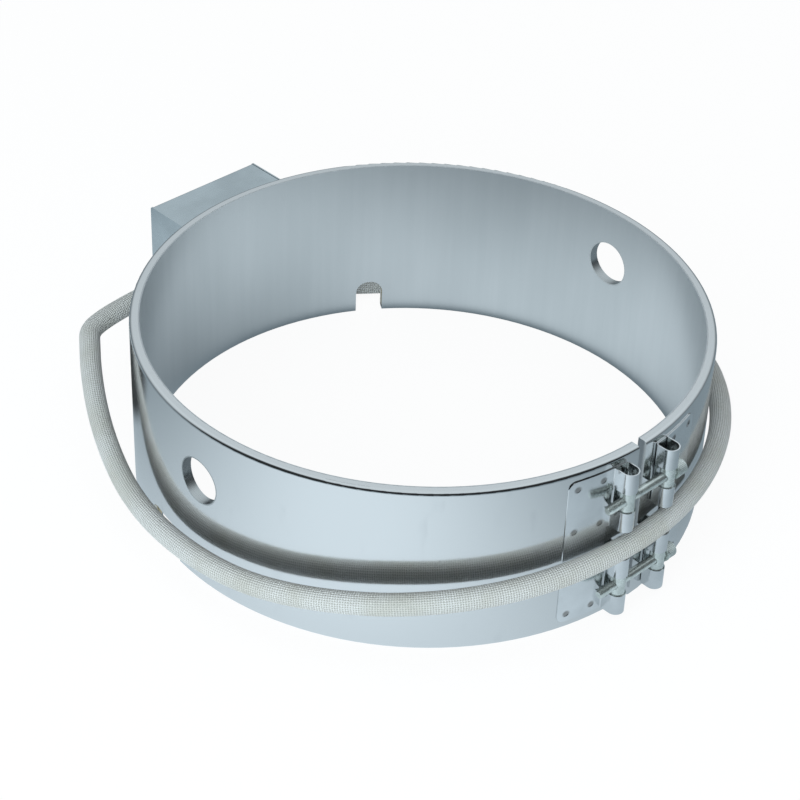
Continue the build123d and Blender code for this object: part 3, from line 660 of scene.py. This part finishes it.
def smooth_line(name, points, resolution):
    """An edge mesh of the places that a NURBS spline passes, read back from a curve with no bevel."""
    curve = bpy.data.curves.new(name, "CURVE")
    curve.dimensions = "3D"
    spline = curve.splines.new("NURBS")
    spline.points.add(len(points) - 1)
    for point, place in zip(spline.points, points):
        point.co = (*place, 1.0)
    spline.order_u = 3
    spline.use_endpoint_u = True
    curve.resolution_u = resolution
    guide = bpy.data.objects.new(name, curve)
    mesh = bpy.data.meshes.new_from_object(guide)
    bpy.data.objects.remove(guide)
    return mesh


def places_of(mesh):
    return [vertex.co.copy() for vertex in mesh.vertices]


def tube_rings(places, radius, sides):
    """Rings of points round a line, carried along it without twisting, and the faces between them."""
    after, before = places[1:] + places[-1:], places[:1] + places[:-1]
    ahead = [(onward - back).normalized() for onward, back in zip(after, before)]
    side = ahead[0].cross(Vector((0, 0, 1))).normalized()
    vertices = []
    for place, tangent in zip(places, ahead):
        side = (side - tangent * side.dot(tangent)).normalized()
        up = tangent.cross(side)
        for j in range(sides):
            angle = 2 * math.pi * j / sides
            vertices.append(place + (side * math.cos(angle) + up * math.sin(angle)) * radius)
    return vertices, ring_faces(len(places), sides)


def ring_faces(rings, sides):
    """Quads between rings of points."""
    faces = []
    for i in range(rings - 1):
        for j in range(sides):
            k = (j + 1) % sides
            faces.append((i * sides + j, i * sides + k, (i + 1) * sides + k, (i + 1) * sides + j))
    return faces


# Lead
def woven_tube(material):
    """The recipe of a tube round a line, raised where the knots of the weave stand."""
    recipe = Recipe(
        "woven_tube", Radius=LEAD_DIAMETER / 2, Pitch=WEAVE_PITCH, Depth=WEAVE_DEPTH,
        Ribs=SLEEVE_RIBS, Material=material,
    )
    line = recipe.node("GeometryNodeMeshToCurve", None, recipe.input("Geometry"))
    step = recipe.input("Pitch") / 2.0
    line = recipe.node("GeometryNodeResampleCurve", {"mode": "LENGTH"}, Curve=line, Length=step)
    around = recipe.input("Ribs") * 2.0
    radius = recipe.input("Radius") - recipe.input("Depth") * 2.0
    by_radius = {"mode": "RADIUS"}
    ring = recipe.node("GeometryNodeCurvePrimitiveCircle", by_radius, Resolution=around, Radius=radius)
    tube = recipe.node("GeometryNodeCurveToMesh", None, line, Profile_Curve=ring, Fill_Caps=True)
    index = recipe.node("GeometryNodeInputIndex")
    row = (index / around).floor()
    crest = 1.0 - row % 2.0 - index % 2.0
    normal = recipe.node("GeometryNodeInputNormal")
    raised = recipe.node("ShaderNodeVectorMath", {"operation": "SCALE"}, normal)
    recipe.put(raised.socket.node.inputs["Scale"], crest * recipe.input("Depth"))
    angle = (index % around) / around * (2 * math.pi)
    for label, value in (("along", row * step), ("across", angle.cosine()), ("upward", angle.sine())):
        tube = recipe.node("GeometryNodeStoreNamedAttribute", None, tube, Name=label, Value=value)
    tube = recipe.node("GeometryNodeSetPosition", None, tube, Offset=raised)
    recipe.end(tube)
    return recipe


def lead_sleeve(material):
    """The woven sleeve along the lead's route, with the line through it and its length."""
    line = smooth_line("lead_line", LEAD_ROUTE, LEAD_STEPS)
    places = places_of(line)
    source = bpy.data.objects.new("lead_line", line)
    bpy.context.scene.collection.objects.link(source)
    piece = woven_tube(material).run("woven_lead", source)
    for polygon in piece.data.polygons:
        polygon.use_smooth = True
    length = sum((after - before).length for before, after in zip(places, places[1:]))
    return piece, places, length


def round_wire(name, points, radius, material):
    """A plain round wire along a smooth line, closed at both ends."""
    places = places_of(smooth_line(name + "_line", points, WIRE_STEPS))
    vertices, faces = tube_rings(places, radius, WIRE_SIDES)
    last = (len(places) - 1) * WIRE_SIDES
    faces.append(tuple(reversed(range(WIRE_SIDES))))
    faces.append(tuple(range(last, last + WIRE_SIDES)))
    return mesh_piece(name, vertices, faces, material)


def lead_tails(braid, copper):
    """Three braided wires that leave the sleeve and end in bare copper."""
    end, before = Vector(LEAD_ROUTE[-1]), Vector(LEAD_ROUTE[-2])
    ahead = (end - before).normalized()
    side = Vector((-ahead.y, ahead.x, 0))
    drop = Vector((0, 0, end.z - WIRE_DIAMETER / 2 - FLOOR_GAP))
    pieces = []
    for name, shift in (("first", -1), ("second", 0), ("third", 1)):
        spread = side * (TAIL_SPREAD * shift)
        start = end + side * (TAIL_PITCH * shift) - ahead * TAIL_START
        points = [start]
        for run, sideways, down in TAIL_STRETCHES:
            points.append(points[-1] + ahead * (TAIL_LENGTH * run) + spread * sideways - drop * down)
        start, middle, tip = points
        points.insert(1, start.lerp(middle, 0.5) + Vector((0, 0, TAIL_ARCH)))
        pieces.append(round_wire("tail_" + name, points, WIRE_DIAMETER / 2, braid))
        onward = (tip - middle).normalized()
        stripped = [tip + onward * step for step in (-STRIPPED_START, STRIPPED_MIDDLE, STRIPPED_LENGTH)]
        pieces.append(round_wire("bare_end_" + name, stripped, COPPER_RADIUS, copper))
    return pieces


# Clamp screws
def plain(radius):
    return lambda angle: radius


def threaded_screw(name, node, material):
    """Socket-head screw: ribbed head, plain shank and a helical thread over its far end."""
    low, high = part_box(node)
    axis_y, axis_z = (low.y + high.y) / 2, (low.z + high.z) / 2
    head_radius = (high.y - low.y) / 2
    under_head = high.x - HEAD_LENGTH

    def ribbed(angle):
        return head_radius - HEAD_RIB_DEPTH * (0.5 + 0.5 * math.cos(HEAD_RIBS * angle))

    def hexagon(angle):
        sector = (angle + math.pi / 6) % (math.pi / 3) - math.pi / 6
        return SOCKET_FLAT / math.cos(sector)

    def threaded(x, depth, taper):
        def radius_at(angle):
            phase = (x / THREAD_PITCH - angle / (2 * math.pi)) % 1.0
            return (SCREW_RADIUS - depth * abs(2 * phase - 1)) * taper
        return radius_at

    rings = [(low.x, plain(0.0)), (low.x, plain(SCREW_RADIUS - TIP_CHAMFER))]
    steps = round(THREAD_LENGTH / THREAD_PITCH * THREAD_STEPS)
    for i in range(steps + 1):
        x = low.x + THREAD_START + i * THREAD_PITCH / THREAD_STEPS
        run_out = min(1.0, (steps - i) / (2 * THREAD_STEPS))
        taper = TIP_TAPER + (1.0 - TIP_TAPER) * min(1.0, i / (2 * THREAD_STEPS))
        rings.append((x, threaded(x, THREAD_DEPTH * run_out, taper)))
    rings += [
        (under_head - NECK_LENGTH, plain(SCREW_RADIUS)),
        (under_head, plain(SCREW_RADIUS + NECK_RISE)),
    ]
    rings += [(under_head + far, plain(head_radius - inset)) for far, inset in HEAD_FOOT]
    rings += [(under_head + HEAD_RIB_START, ribbed), (high.x - HEAD_RIB_END, ribbed)]
    rings += [(high.x - far, plain(head_radius - inset)) for far, inset in HEAD_CROWN]
    rings += [
        (high.x, plain(SOCKET_MOUTH)),
        (high.x - SOCKET_CHAMFER, hexagon),
        (high.x - SOCKET_DEPTH, hexagon),
        (high.x - SOCKET_DEPTH - SOCKET_POINT, plain(0.0)),
    ]
    vertices = []
    for x, radius_at in rings:
        for j in range(SCREW_SIDES):
            angle = 2 * math.pi * j / SCREW_SIDES
            radius = radius_at(angle)
            vertices.append((x, axis_y + radius * math.cos(angle), axis_z + radius * math.sin(angle)))
    piece = mesh_piece(name, vertices, ring_faces(len(rings), SCREW_SIDES), material)
    tidy_mesh(piece)
    return piece


def tidy_mesh(piece):
    """Merge doubled points, drop empty faces, point the faces outwards and keep crisp edges."""
    shape = bmesh.new()
    shape.from_mesh(piece.data)
    bmesh.ops.remove_doubles(shape, verts=shape.verts, dist=SCREW_MERGE)
    bmesh.ops.dissolve_degenerate(shape, edges=shape.edges, dist=SCREW_MERGE)
    bmesh.ops.recalc_face_normals(shape, faces=shape.faces)
    for edge in shape.edges:
        if len(edge.link_faces) == 2 and edge.calc_face_angle(0.0) > CRISP_ANGLE:
            edge.smooth = False
    shape.to_mesh(piece.data)
    shape.free()


# Stage
def place_camera():
    """The photograph's view: on the left of the split, above the rim."""
    elevation, azimuth = math.radians(CAMERA_ELEVATION), math.radians(CAMERA_AZIMUTH)
    flat = CAMERA_DISTANCE * math.cos(elevation)
    high = CAMERA_DISTANCE * math.sin(elevation)
    place = Vector((-flat * math.sin(azimuth), -flat * math.cos(azimuth), high))
    aim = -place.normalized()
    right = aim.cross(Vector((0, 0, 1))).normalized()
    up = right.cross(aim)
    yaw, pitch = math.radians(CAMERA_YAW), math.radians(CAMERA_PITCH)
    forward = (aim + right * math.tan(yaw) + up * math.tan(pitch)).normalized()
    right = (right - forward * right.dot(forward)).normalized()
    up = right.cross(forward)
    roll = math.radians(CAMERA_ROLL)
    turned_right = right * math.cos(roll) + up * math.sin(roll)
    turned_up = up * math.cos(roll) - right * math.sin(roll)
    data = bpy.data.cameras.new("photo_camera")
    data.sensor_fit = "HORIZONTAL"
    data.sensor_width = SENSOR_WIDTH
    data.lens = CAMERA_LENS
    data.clip_start = CAMERA_NEAR
    data.clip_end = CAMERA_FAR
    camera = bpy.data.objects.new("photo_camera", data)
    bpy.context.scene.collection.objects.link(camera)
    turn = Matrix((turned_right, turned_up, -forward)).transposed().to_4x4()
    camera.matrix_world = Matrix.Translation(place) @ turn
    bpy.context.scene.camera = camera


def soft_lamp(name, place, size, power, tint):
    """A square soft lamp that looks at the middle of the band and isn't mirrored in the metal."""
    data = bpy.data.lights.new(name, "AREA")
    data.shape = "SQUARE"
    data.size = size
    data.energy = power
    data.color = tint
    lamp = bpy.data.objects.new(name, data)
    lamp.visible_glossy = False
    bpy.context.scene.collection.objects.link(lamp)
    lamp.location = place
    aim = Vector((0, 0, BAND_WIDTH / 2)) - Vector(place)
    lamp.rotation_euler = aim.to_track_quat("-Z", "Y").to_euler()


def reach(x, y, centre_x, centre_y):
    """Distance from a centre on a plane."""
    return ((x - centre_x) * (x - centre_x) + (y - centre_y) * (y - centre_y)) ** 0.5


def pale_floor():
    """White paper: the camera sees it white; metal sees a painted reflection that falls off round its
    bright spots and goes dim or black in its patches.
    """
    finish = Finish("white_paper", Roughness=0.9)
    finish.paint(colour(0.93, 0.94, 0.95))
    rays = finish.tree.nodes.new("ShaderNodeLightPath")
    camera_ray = Signal(finish, rays.outputs["Is Camera Ray"])
    glossy_ray = Signal(finish, rays.outputs["Is Glossy Ray"])
    x, y, _ = finish.split(finish.place())
    # Painted reflection: the floor's tone for glossy rays, bright round its spots and dim away from
    # them
    outer_fall = reach(x, y, *FLOOR_SPOT).ramp(*FLOOR_FALL)
    outside = finish.blend(outer_fall, colour(*FLOOR_BRIGHT), colour(*FLOOR_DIM))
    inner_fall = reach(x, y, *INNER_SPOT).ramp(*INNER_FALL)
    inside = finish.blend(inner_fall, colour(*INNER_BRIGHT), colour(*INNER_DIM))
    across = reach(x, y, 0.0, 0.0).ramp(BORE_RADIUS - INNER_EDGE, BORE_RADIUS)
    spot = finish.blend(across, inside, outside)
    # Painted reflections: each patch dims the tone that metal sees, down to black
    for centre_x, centre_y, core, edge, strength in FLOOR_PATCHES:
        fall = reach(x, y, centre_x, centre_y).ramp(core, edge)
        spot = finish.blend(fall, shade(FLOOR_BRIGHT, strength), spot)
    tone = finish.blend(camera_ray, spot, colour(FLOOR_WHITE, FLOOR_WHITE, FLOOR_WHITE))
    glow = finish.node("ShaderNodeEmission", None, tone)
    surface = Signal(finish, finish.surface.outputs[0])
    share = camera_ray * CAMERA_SHARE + glossy_ray * GLOSSY_SHARE
    mix = finish.node("ShaderNodeMixShader", None, share, surface, glow)
    finish.put(finish.tree.nodes["Material Output"].inputs["Surface"], mix)
    half = FLOOR_HALF
    corners = [(-half, -half, 0), (half, -half, 0), (half, half, 0), (-half, half, 0)]
    floor = mesh_piece("white_floor", corners, [(0, 1, 2, 3)], finish.material)
    floor.location = (0, 0, -FLOOR_DROP)


def studio_world():
    """White behind the object, and in reflections a pale back wall and ceiling and a dark front."""
    world = bpy.data.worlds.new("studio")
    bpy.context.scene.world = world
    world.use_nodes = True
    room = Graph(world.node_tree)
    rays = room.tree.nodes.new("ShaderNodeLightPath")
    x, y, z = room.split(room.node("ShaderNodeTexCoord", output="Generated"))
    azimuth = math.radians(CAMERA_AZIMUTH)
    front = x * -math.sin(azimuth) + y * -math.cos(azimuth)
    dark = front.ramp(*ROOM_FRONT) * (1.0 - z.ramp(*ROOM_CEILING))
    wall = room.blend(z.ramp(0.0, ROOM_RISE), colour(*ROOM_LOW), colour(*ROOM_HIGH))
    seen = room.blend(dark * ROOM_DARK, wall, colour(0.0, 0.0, 0.0))
    lit = room.blend(Signal(room, rays.outputs["Is Glossy Ray"]), colour(*ROOM_FILL), seen)
    shown = room.blend(Signal(room, rays.outputs["Is Camera Ray"]), lit, colour(1.0, 1.0, 1.0))
    room.put(room.tree.nodes["Background"].inputs["Color"], shown)


def build_stage():
    place_camera()
    pale_floor()
    studio_world()
    for name, lamp in LAMPS.items():
        soft_lamp(name, *lamp)
    bpy.context.scene.view_settings.view_transform = "Standard"


build_stage()

# Lead
sleeve, lead_line, lead_length = lead_sleeve(woven_sleeve())
copper = mottled("bare_copper", (0.55, 0.27, 0.15), (0.80, 0.46, 0.30), 1400.0, 0.32, 0.4, 1.0)
braid = glass_braid()
tails = lead_tails(braid, copper)
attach(sleeve, "heater")
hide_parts("lead_sleeve")
for tail in tails:
    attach(tail, "heater")
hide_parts("lead_tails")

# Metal
zinc = zinc_plate("zinc_plate")
dress_metal(zinc)
finish_nodes(zinc, braid)
for end in ("upper", "lower"):
    screw = threaded_screw(end + "_socket_screw", end + "_clamp_screw", zinc)
    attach(screw, end + "_screw")
    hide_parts(end + "_clamp_screw")
